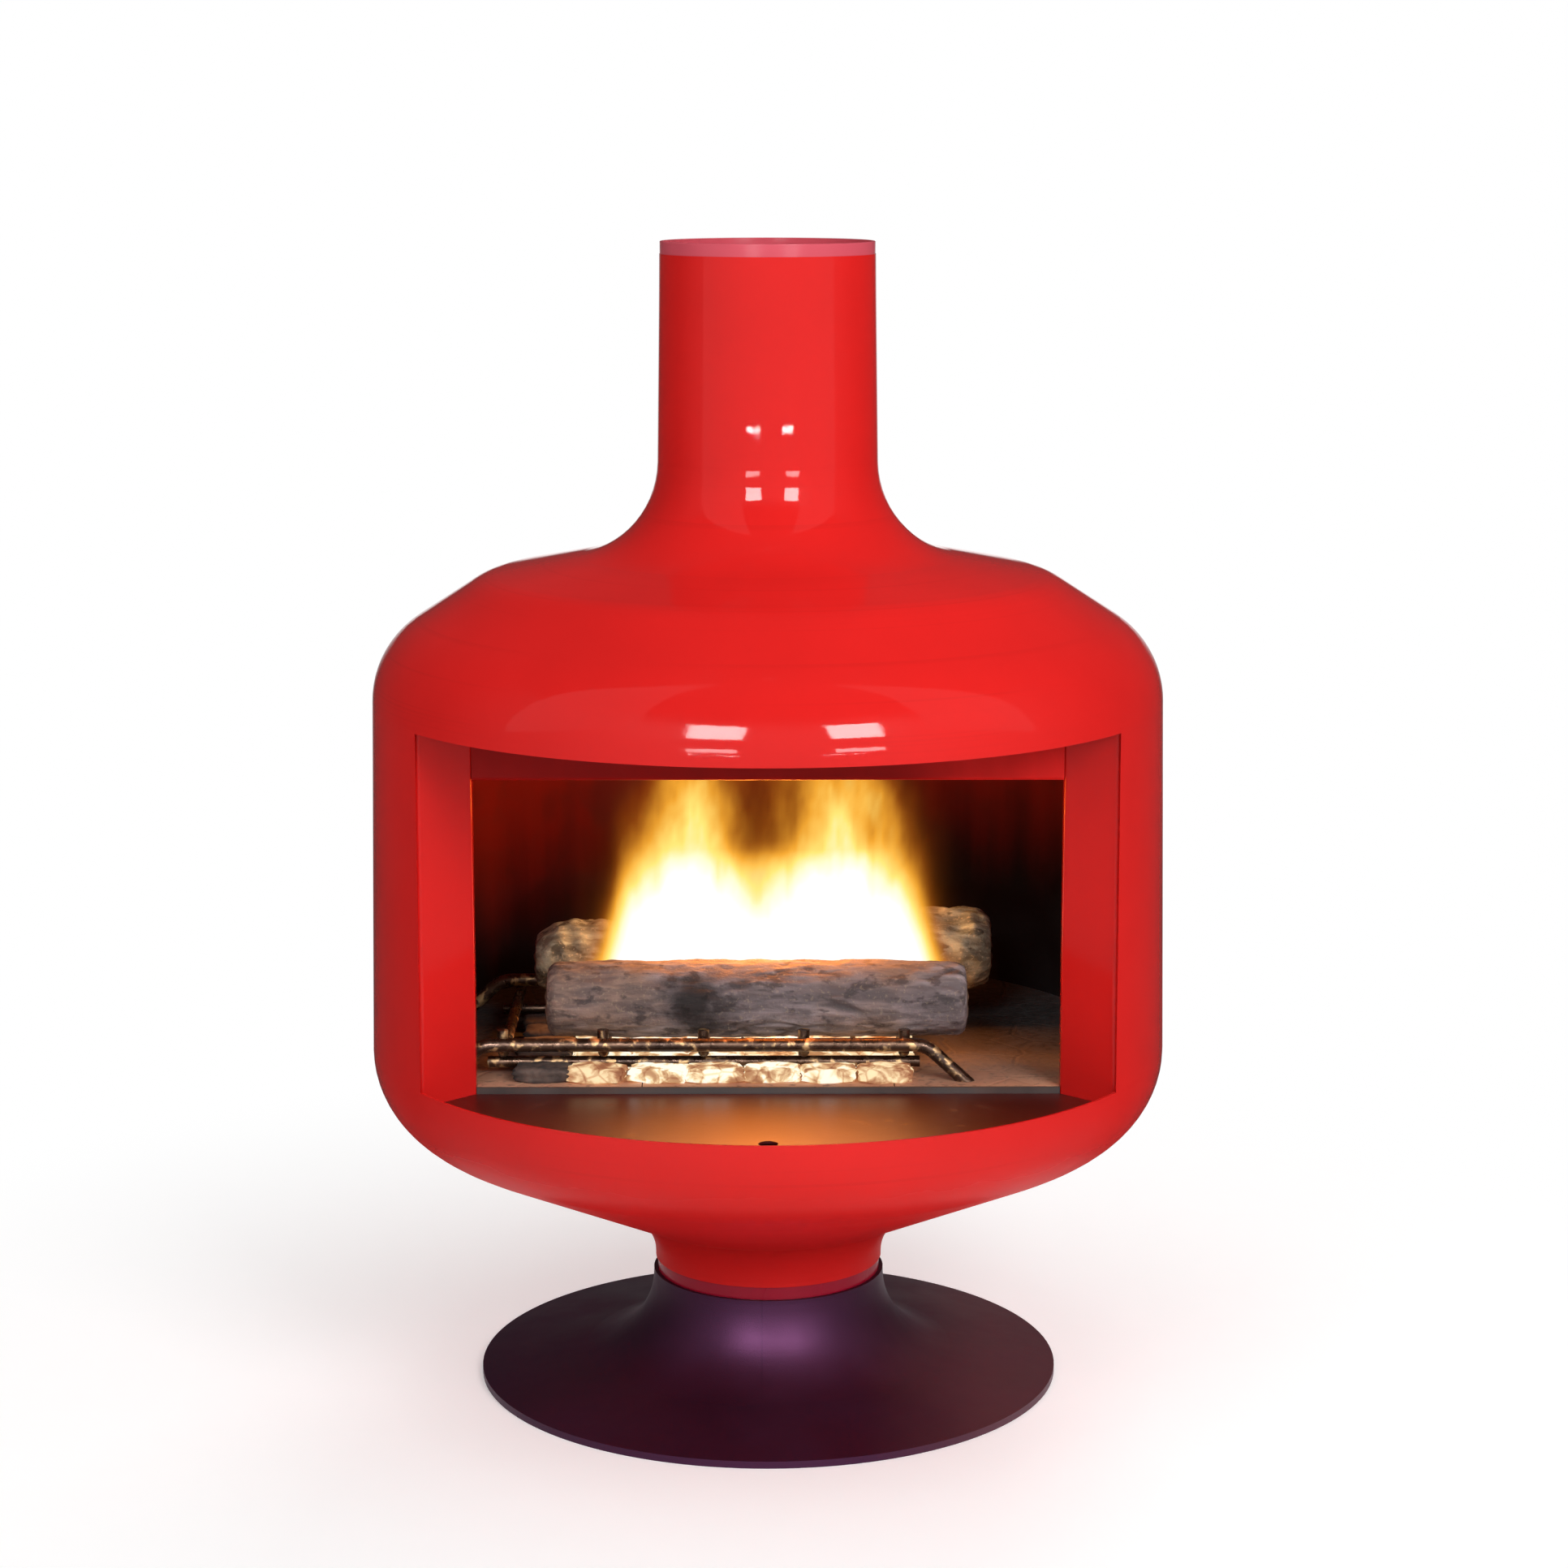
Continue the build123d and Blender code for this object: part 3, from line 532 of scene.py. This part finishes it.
def log_piece(name, node, seed, crack_depth, lump, edge, end_swell, material):
    """Log lying along X in its node's box, low enough to rest on the bars."""
    low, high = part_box(node)
    middle = (low + high) / 2
    half = (high.x - low.x) / 2
    radius = (high.z - low.z) / 2 - lump
    points, faces, crack, ring, cut = [], [], [], [], []

    def add_ring(x, scale, is_cut):
        share = (x - middle.x) / half
        swell = radius * (1.0 + end_swell * share * abs(share) - 0.04 * share * share)
        wander = LOG_WANDER * math.cos(2.2 * share + seed)
        for side in range(LOG_SIDES):
            angle = 2 * math.pi * side / LOG_SIDES
            spoke = Vector((0.0, math.cos(angle), math.sin(angle)))
            relief, depth = bark_relief(Vector((x, 0.0, 0.0)) + spoke * swell, seed, crack_depth, lump)
            reach = (swell + relief) * scale
            grain = reach + 0.0012 * noise.noise(spoke * 2.0 + Vector((seed, 0.0, 0.0)))
            chip = is_cut * LOG_CHIPS * (noise.noise(spoke * reach * 130.0) - 0.6)
            rest = low.z + lump + swell
            points.append(Vector((x + math.copysign(chip, share), middle.y + wander, rest)) + spoke * reach)
            crack.append(depth * (1.0 - is_cut))
            ring.append(0.5 + 0.5 * math.sin(grain * GRAIN_RINGS))
            cut.append(is_cut)

    def cap_scale(share):
        return LOG_CAP_INNER + (LOG_CAP_OUTER - LOG_CAP_INNER) * share

    for step in range(LOG_CAP_RINGS):
        share = step / (LOG_CAP_RINGS - 1)
        add_ring(low.x + LOG_CAP_DEPTH * share, cap_scale(share), 1.0)
    for step in range(LOG_RINGS + 1):
        share = step / LOG_RINGS
        along = 0.5 - 0.5 * math.cos(math.pi * share)
        x = low.x + LOG_END_GAP + 2 * (half - LOG_END_GAP) * along
        gone = 1.0 - min(min(x - low.x, high.x - x) / edge, 1.0)
        add_ring(x, LOG_END_SCALE + (1.0 - LOG_END_SCALE) * math.sqrt(1.0 - gone * gone), 0.0)
    for step in range(LOG_CAP_RINGS):
        share = 1.0 - step / (LOG_CAP_RINGS - 1)
        add_ring(high.x - LOG_CAP_DEPTH * share, cap_scale(share), 1.0)
    count = len(points) // LOG_SIDES
    for row in range(count - 1):
        for side in range(LOG_SIDES):
            after = (side + 1) % LOG_SIDES
            a, b = row * LOG_SIDES, (row + 1) * LOG_SIDES
            faces.append((a + side, a + after, b + after, b + side))
    faces.append(tuple(range(LOG_SIDES - 1, -1, -1)))
    faces.append(tuple(range((count - 1) * LOG_SIDES, count * LOG_SIDES)))
    piece = mesh_piece(name, points, faces, material, "grate", "bark", crack=crack, ring=ring, cut=cut)
    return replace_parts(piece, node)


# Embers: broken blocks in rows, with small pieces between them
EMBER_SEED = 23
EMBER_COLUMNS = 7
EMBER_ROWS = 5
EMBER_CRUMBS = 80


def ember_lump(mesh, place, size, turn, blocky):
    """Add one broken block of charcoal to a mesh, standing on its lowest points."""
    made = bmesh.ops.create_icosphere(mesh, subdivisions=3, radius=1.0)["verts"]
    offset = place * 90.0
    for vert in made:
        way = vert.co.normalized()
        widest = max(abs(way.x), abs(way.y), abs(way.z))
        reach = 1.0 + blocky * (1.0 / widest - 1.0)
        reach *= 1.0 + 0.10 * noise.noise(way * 1.6 + offset) + 0.14 * noise.noise(way * 5.5 + offset)
        spot = Vector((way.x * size.x, way.y * size.y, way.z * size.z)) * reach
        spot = Vector((
            spot.x * math.cos(turn) - spot.y * math.sin(turn),
            spot.x * math.sin(turn) + spot.y * math.cos(turn),
            max(spot.z, -size.z),
        ))
        vert.co = place + spot + Vector((0.0, 0.0, size.z))
    return made


def ember_piece(material):
    """Bed of embers in the node's box, hot in the middle and dead at its left end."""
    low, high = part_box("embers")
    rng = random.Random(EMBER_SEED)
    mesh = bmesh.new()
    glow = []

    def lump(x, y, size, blocky):
        place = Vector((x, y, low.z))
        made = ember_lump(mesh, place, size, rng.uniform(-0.09, 0.09), blocky)
        heat = smooth(x, low.x + 0.02, low.x + 0.10) * (1.0 - 0.6 * smooth(x, high.x - 0.05, high.x))
        heat *= rng.uniform(0.85, 1.25)
        glow.extend([heat] * len(made))

    step_x = (high.x - low.x) / EMBER_COLUMNS
    step_y = (high.y - low.y) / EMBER_ROWS
    for row in range(EMBER_ROWS):
        for column in range(EMBER_COLUMNS):
            x = low.x + (column + 0.5 + rng.uniform(-0.05, 0.05)) * step_x
            y = low.y + (row + 0.5 + rng.uniform(-0.03, 0.03)) * step_y
            width = rng.uniform(0.46, 0.50) * step_x
            depth = rng.uniform(0.33, 0.36) * step_y
            lump(x, y, Vector((width, depth, rng.uniform(0.0062, 0.0074))), 0.96)
    for _ in range(EMBER_CRUMBS):
        size = Vector((1.0, rng.uniform(0.6, 1.0), rng.uniform(0.35, 0.55))) * rng.uniform(0.003, 0.0045)
        lump(rng.uniform(low.x, high.x), rng.uniform(low.y + 0.01, high.y), size, 0.4)
    points = [vert.co.copy() for vert in mesh.verts]
    faces = [[vert.index for vert in face.verts] for face in mesh.faces]
    mesh.free()
    piece = mesh_piece("ember_bed", points, faces, material, "stove", "ember", glow=glow)
    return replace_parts(piece, "embers")


# Flames: curved sheets of gas between the logs
FLAME_FOOT = 0.405
FLAME_TOP = 0.70
FLAME_HALF = 0.225
FLAME_COLUMNS = 120
FLAME_ROWS = 84
FLAME_LEAST = 0.012
FLAME_LIGHT = 1.1
FLAME_RIPPLE = 0.010
FLAME_SWAY = 0.014
# Each tongue has a middle, a half width, a height, a strength and how steep its sides are
TONGUES = (
    (0.000, 0.160, 0.140, 1.50, 7.0),
    (-0.076, 0.040, 0.330, 0.70, 2.5),
    (0.074, 0.050, 0.330, 0.66, 2.5),
    (-0.128, 0.024, 0.200, 0.45, 2.5),
    (0.130, 0.026, 0.210, 0.45, 2.5),
    (0.000, 0.180, 0.420, 0.34, 3.0),
)


def flame_heat(x, z, seed):
    """How hot a flame sheet is at a place: 0 outside, and near 1 in its white middle."""
    total = 0.0
    for middle, half, height, strength, steepness in TONGUES:
        rise = (z - FLAME_FOOT) / height
        if rise >= 1.0:
            continue
        sway = FLAME_SWAY * rise * noise.noise(Vector((middle * 40.0, z * 11.0, seed)))
        across = (x - middle - sway) / (half * (1.0 - 0.25 * rise))
        total += strength * math.exp(-abs(across) ** steepness) * (1.0 - rise)
    rise = (z - FLAME_FOOT) / (FLAME_TOP - FLAME_FOOT)
    streak = noise.fractal(Vector((x * 40.0, z * 12.0, seed * 3.1)), 0.9, 2.1, 4)
    total *= 1.0 + (0.10 + 0.75 * rise) * streak * 0.7
    return min(max(total - 0.03, 0.0), 1.2)


def flame_sheet(name, y, bulge, strength, seed, material):
    """One sheet of flame, bowed towards the front, cut off where it is cool."""
    points, heat = [], []
    for row in range(FLAME_ROWS + 1):
        z = FLAME_FOOT + (FLAME_TOP - FLAME_FOOT) * row / FLAME_ROWS
        for column in range(FLAME_COLUMNS + 1):
            across = 2.0 * column / FLAME_COLUMNS - 1.0
            x = across * FLAME_HALF
            ripple = FLAME_RIPPLE * noise.noise(Vector((x * 14.0, z * 9.0, seed)))
            points.append((x, y - bulge * (1.0 - across * across) + ripple, z))
            heat.append(strength * flame_heat(x, z, seed))
    faces = []
    for row in range(FLAME_ROWS):
        for column in range(FLAME_COLUMNS):
            a = row * (FLAME_COLUMNS + 1) + column
            corners = (a, a + 1, a + FLAME_COLUMNS + 2, a + FLAME_COLUMNS + 1)
            if max(heat[corner] for corner in corners) > FLAME_LEAST:
                faces.append(corners)
    kept = sorted({corner for face in faces for corner in face})
    order = {old: new for new, old in enumerate(kept)}
    faces = [[order[corner] for corner in face] for face in faces]
    points = [points[old] for old in kept]
    heat = [heat[old] for old in kept]
    piece = mesh_piece(name, points, faces, material, "grate", "ember", hotness=heat)
    piece.visible_diffuse = False
    piece.visible_shadow = False


def fire():
    """Logs, embers and flames."""
    front_bark = bark_material(
        "front_log_bark",
        light=(0.47, 0.38, 0.38),
        dark=(0.20, 0.155, 0.160),
        brown=(0.38, 0.25, 0.19),
        painted_glints=0.14,
        soot_place=(-0.070, -0.121, 0.404),
        soot_size=0.036,
    )
    back_bark = bark_material(
        "back_log_bark",
        light=(0.82, 0.78, 0.56),
        dark=(0.24, 0.190, 0.125),
        brown=(0.58, 0.44, 0.27),
        painted_glints=0.55,
        soot_place=(0.0, 0.03, 0.45),
        soot_size=0.12,
    )
    log_piece(
        "front_log_bark",
        "front_log",
        seed=3.0,
        crack_depth=0.0020,
        lump=0.002,
        edge=0.012,
        end_swell=0.0,
        material=front_bark,
    )
    log_piece(
        "back_log_bark",
        "back_log",
        seed=17.0,
        crack_depth=0.0045,
        lump=0.008,
        edge=0.035,
        end_swell=0.12,
        material=back_bark,
    )
    ember_piece(ember_material())
    gas = flame_material()
    flame_sheet("flame_front", y=-0.060, bulge=0.016, strength=1.0, seed=1.0, material=gas)
    flame_sheet("flame_middle", y=-0.020, bulge=0.016, strength=0.9, seed=4.0, material=gas)
    flame_sheet("flame_rear", y=0.020, bulge=0.014, strength=0.6, seed=9.0, material=gas)


def light_path(tree):
    """1 where a ray comes from the camera, a mirror or glass, else 0."""
    path = tree.nodes.new("ShaderNodeLightPath")
    total = None
    for kind in ("Is Camera Ray", "Is Glossy Ray", "Is Transmission Ray"):
        if total is None:
            total = path.outputs[kind]
        else:
            most = tree.nodes.new("ShaderNodeMath")
            most.operation = "MAXIMUM"
            tree.links.new(total, most.inputs[0])
            tree.links.new(path.outputs[kind], most.inputs[1])
            total = most.outputs[0]
    return total


# Strength and colour of the even light on the object
WORLD_FILL = 0.28
WORLD_COLOUR = (1.0, 0.985, 0.97)


def studio_world():
    """White to look at, and a softer even light on the object."""
    world = bpy.data.worlds.new("studio")
    world.use_nodes = True
    bpy.context.scene.world = world
    tree = world.node_tree
    fill = tree.nodes["Background"]
    fill.inputs["Color"].default_value = rgba(WORLD_COLOUR)
    fill.inputs["Strength"].default_value = WORLD_FILL
    seen = tree.nodes.new("ShaderNodeBackground")
    seen.inputs["Color"].default_value = rgba(WHITE)
    mix = tree.nodes.new("ShaderNodeMixShader")
    tree.links.new(light_path(tree), mix.inputs[0])
    tree.links.new(fill.outputs[0], mix.inputs[1])
    tree.links.new(seen.outputs[0], mix.inputs[2])
    tree.links.new(mix.outputs[0], tree.nodes["World Output"].inputs["Surface"])


STAGE_SIDES = 64


def circle(radius, height):
    """Points of a level circle round the stove's axis."""
    turns = [2 * math.pi * side / STAGE_SIDES for side in range(STAGE_SIDES)]
    return [(radius * math.cos(turn), radius * math.sin(turn), height) for turn in turns]


# Floor: its radius, where its shadow fades out, and the light that makes it pale
FLOOR_REACH = 60.0
FLOOR_RINGS = 14
FLOOR_SHADOW = (0.35, 1.2)
FLOOR_LIFT = 0.31
FLOOR_DARK = (0.86, 0.86, 0.86)
FLOOR_PALE = (0.88, 0.88, 0.88)


def studio_floor():
    """Pale floor that keeps the shadow near the stove and is white further off."""
    sides = STAGE_SIDES
    points = [(0.0, 0.0, 0.0)]
    for ring in range(FLOOR_RINGS):
        points += circle(FLOOR_REACH * ((ring + 1) / FLOOR_RINGS) ** 3, 0.0)
    faces = [(0, 1 + side, 1 + (side + 1) % sides) for side in range(sides)]
    for ring in range(FLOOR_RINGS - 1):
        a, b = 1 + ring * sides, 1 + (ring + 1) * sides
        faces += [(a + s, b + s, b + (s + 1) % sides, a + (s + 1) % sides) for s in range(sides)]
    mesh = bpy.data.meshes.new("studio_floor")
    mesh.from_pydata(points, [], faces)
    paint = Paint("studio_floor")
    colours = paint.ramp(paint.noise(30.0), (0.3, FLOOR_DARK), (0.7, FLOOR_PALE))
    paint.set(base_color=colours, roughness=0.9, specular_ior_level=0.1)
    white = paint.node("ShaderNodeEmission")
    lift = paint.node("ShaderNodeEmission")
    seen = light_path(paint.tree)
    paint.feed(lift.inputs["Strength"], paint.math("MULTIPLY", seen, FLOOR_LIFT))
    near = paint.node("ShaderNodeAddShader")
    paint.feed(near.inputs[0], paint.shader.outputs[0])
    paint.feed(near.inputs[1], lift.outputs[0])
    far = paint.spread(paint.distance((0.0, 0.0, 0.0)), *FLOOR_SHADOW)
    paint.show_mix(paint.math("MULTIPLY", far, seen), near, white)
    mesh.materials.append(paint.material)
    floor = bpy.data.objects.new("studio_floor", mesh)
    bpy.context.scene.collection.objects.link(floor)


def lamp(name, kind, place, power, colour=WHITE):
    """Lamp that the camera doesn't see."""
    data = bpy.data.lights.new(name, kind)
    data.energy = power
    data.color = colour
    made = bpy.data.objects.new(name, data)
    made.location = place
    made.visible_camera = False
    bpy.context.scene.collection.objects.link(made)
    return made


# Points of the stove that lamps face
STOVE_MIDDLE = Vector((0.0, 0.0, 0.70))
HOOD_RIM = Vector((0.0, -0.38, 0.70))
NECK_FRONT = Vector((0.0, -0.105, 0.951))
TRAY_FRONT = Vector((0.0, -0.33, 0.33))
# Panels that light the stove: azimuth, elevation, distance, size and radiance
PANELS = {
    "front_panel_left": (-30.0, 25.0, 4.5, (1.8, 1.8), 2.7),
    "front_panel_right": (30.0, 25.0, 4.5, (1.8, 1.8), 10.0),
    "ceiling_panel": (0.0, 80.0, 4.0, (2.6, 2.6), 1.5),
    "rear_panel": (165.0, 30.0, 5.0, (2.4, 1.8), 6.0),
}
# Lamps that only mirror images show: the same values, the point that each faces, and a colour if not white
WINDOWS = {
    "window_left": (-15.8, 24.8, 5.0, (1.38, 1.25), 42.0, HOOD_RIM),
    "window_right": (26.5, 24.8, 5.0, (1.32, 1.25), 42.0, HOOD_RIM),
    "low_window_left": (-15.8, 4.5, 10.0, (2.5, 0.7), 23.0, HOOD_RIM),
    "low_window_right": (26.5, 4.5, 10.0, (2.5, 0.7), 23.0, HOOD_RIM),
    "strip_left": (-15.0, -3.05, 5.0, (1.25, 0.009), 114.0, NECK_FRONT),
    "strip_right": (21.0, -3.05, 5.0, (1.0, 0.009), 114.0, NECK_FRONT),
    "flame_mirror": (180.0, 35.0, 0.366, (0.20, 0.16), 95.0, TRAY_FRONT, (1.0, 0.25, 0.02)),
}
# The fire's own light: place, power, colour and radius
FIRE_LAMPS = {
    "fire_glow": ((-0.02, 0.03, 0.51), 3.3, (1.0, 0.50, 0.18), 0.08),
    "ember_glow": ((0.02, -0.03, 0.365), 1.2, (1.0, 0.50, 0.16), 0.02),
}


def softbox(name, azimuth, elevation, distance, size, radiance, aim, colour=WHITE):
    """Rectangle of light that faces a point of the stove. Azimuth 0 is the camera's side."""
    a, e = math.radians(azimuth), math.radians(elevation)
    way = Vector((math.sin(a) * math.cos(e), -math.cos(a) * math.cos(e), math.sin(e)))
    width, height = size
    made = lamp(name, "AREA", aim + way * distance, radiance * width * height * math.pi, colour)
    made.data.shape = "RECTANGLE"
    made.data.size, made.data.size_y = size
    made.rotation_mode = "QUATERNION"
    made.rotation_quaternion = (-way).to_track_quat("-Z", "Y")
    return made


def studio_lights():
    """Soft panels that light the stove, windows that it mirrors, and the fire's own light."""
    for name, settings in PANELS.items():
        softbox(name, *settings, STOVE_MIDDLE).visible_glossy = False
    for name, settings in WINDOWS.items():
        softbox(name, *settings).visible_diffuse = False
    for name, (place, power, colour, radius) in FIRE_LAMPS.items():
        made = lamp(name, "POINT", place, power, colour)
        made.data.shadow_soft_size = radius
        made.visible_glossy = False


def gloss_only(name, points, faces, light, cover):
    """Stage sheet that only mirror images show, as bright and as dense as stated."""
    mesh = bpy.data.meshes.new(name)
    mesh.from_pydata(points, [], faces)
    paint = Paint(name)
    paint.show_glow(cover(paint), light)
    mesh.materials.append(paint.material)
    sheet = bpy.data.objects.new(name, mesh)
    bpy.context.scene.collection.objects.link(sheet)
    sheet.visible_camera = False
    sheet.visible_diffuse = False
    sheet.visible_shadow = False
    sheet.visible_transmission = False


CARD_RADIUS = 14.0
CARD_LIGHT = 0.05
# Angles from the camera's side where a card starts and is full, and on the floor thins out and ends
CARD_ANGLES = (20.0, 110.0, 158.0, 175.0)
# Distances from the stove's foot over which the cards fade in
CARD_INNER = (0.30, 0.58)
# Heights over which the card behind the stove, and the ceiling, fade in
CARD_REAR = (0.1, 1.0)
CARD_CEILING = (6.0, 10.0)
CARD_FLOOR = 0.002
CARD_ROWS = 16
CARD_TOP = 89.0


def card_cover(paint):
    """Density of the cards, by the angle round the stove and the height."""
    axes = paint.axes()
    ahead = paint.math("MULTIPLY", axes["Y"], -1.0)
    angle = paint.math("ARCTAN2", paint.math("ABSOLUTE", axes["X"]), ahead)
    start, full, thin, end = (math.radians(value) for value in CARD_ANGLES)
    beside = paint.spread(angle, thin, end, 1.0, 0.0)
    rear = paint.math("MAXIMUM", beside, paint.spread(axes["Z"], *CARD_REAR))
    cover = paint.math("MULTIPLY", paint.spread(angle, start, full), rear)
    cover = paint.math("MAXIMUM", cover, paint.spread(axes["Z"], *CARD_CEILING))
    near = paint.spread(paint.distance((0.0, 0.0, 0.0)), *CARD_INNER)
    return paint.math("MULTIPLY", cover, near)


def studio_cards():
    """Dark ceiling and cards round the stove, which draw the edges of its glossy body."""
    sides = STAGE_SIDES
    points, faces = circle(CARD_INNER[0], CARD_FLOOR), []
    for row in range(CARD_ROWS + 1):
        rise = math.radians(CARD_TOP * row / CARD_ROWS)
        points += circle(CARD_RADIUS * math.cos(rise), CARD_RADIUS * math.sin(rise) + CARD_FLOOR)
    for row in range(CARD_ROWS + 1):
        a, b = row * sides, (row + 1) * sides
        faces += [(a + s, a + (s + 1) % sides, b + (s + 1) % sides, b + s) for s in range(sides)]
    gloss_only("studio_cards", points, faces, CARD_LIGHT, card_cover)


VEIL_Y = -0.50
VEIL_LOW = 0.79
VEIL_HIGH = 2.00
VEIL_WIDTHS = ((-1.30, -0.23), (0.30, 1.50))
VEIL_COVER = 0.85
VEIL_LIGHT = 1.0


def studio_veil():
    """Two white gauzes before the windows, which soften the crown's highlights."""
    points, faces = [], []
    for left, right in VEIL_WIDTHS:
        first = len(points)
        points += [(left, VEIL_Y, VEIL_LOW), (right, VEIL_Y, VEIL_LOW)]
        points += [(right, VEIL_Y, VEIL_HIGH), (left, VEIL_Y, VEIL_HIGH)]
        faces.append(tuple(range(first, first + 4)))
    gloss_only("studio_veil", points, faces, VEIL_LIGHT, lambda paint: VEIL_COVER)


def photo_camera():
    """Camera in front of the stove, a little above it."""
    data = bpy.data.cameras.new("photo_camera")
    data.lens = CAMERA_LENS
    data.sensor_width = CAMERA_SENSOR
    data.clip_end = CAMERA_REACH
    camera = bpy.data.objects.new("photo_camera", data)
    camera.location = (0.0, -CAMERA_DISTANCE, CAMERA_HEIGHT)
    camera.rotation_euler = (math.radians(90.0 - CAMERA_TILT), 0.0, math.radians(-CAMERA_TURN))
    bpy.context.scene.collection.objects.link(camera)
    bpy.context.scene.camera = camera


def dress_nodes():
    """Materials of the CAD nodes that stay."""
    dress(enamel("red_enamel_spun", RED, sooted=True), "hood_dome")
    dress(enamel("red_enamel_neck", RED, gloss=0.014, peel=0.01, rings=0.0, sooted=True), "hood_neck")
    dress(enamel("red_enamel_bowl", RED, dull_below=0.34), "bowl")
    dress(enamel("red_enamel_panel", RED, gloss=0.10, rings=0.0), "drum_shell", "left_jamb", "right_jamb")
    dress(sooted_enamel_with_painted_shade("red_enamel_sooted", RED), "lintel")
    dress(enamel("pink_enamel", COLLAR_PINK, gloss=0.22), "flue_collar")
    dress(enamel("crimson_enamel", CRIMSON, gloss=0.25), "pedestal_ring")
    dress(foot_paint(), "base_flare")
    dress(hearth_enamel(), "hearth_tray")
    dress(fireback_enamel(), "fireback")
    soot_and_painted_shade = sooty_steel("sooty_steel", (0.003, 0.002, 0.002), (0.030, 0.011, 0.009))
    dress(soot_and_painted_shade, "fireback_spacers", "fireback_screws", "damper_plate")
    black = sooty_steel("black_steel", (0.012, 0.009, 0.009), (0.050, 0.036, 0.032))
    dress(black, "base_plate", "floor_plate")
    dress(sooty_steel("brown_steel", (0.022, 0.010, 0.008), (0.075, 0.032, 0.022)), "hearth_edge")
    dress(refractory(), "hearth_slab_left", "hearth_slab_middle", "hearth_slab_right")
    dress(grate_iron(), "grate_front_rail", "grate_rear_rail", "grate_stretchers", "grate_bars")
    steel = bright_steel()
    dress(steel, "pedestal_bolts", "pedestal_nuts", "front_bush", "rear_bush")
    dress(steel, "damper_shaft", "damper_screws", "damper_lever")
    dress(knob_plastic(), "damper_knob")


dress_nodes()
fire()
studio_world()
studio_floor()
studio_cards()
studio_veil()
studio_lights()
photo_camera()
bpy.context.scene.view_settings.view_transform = "Standard"
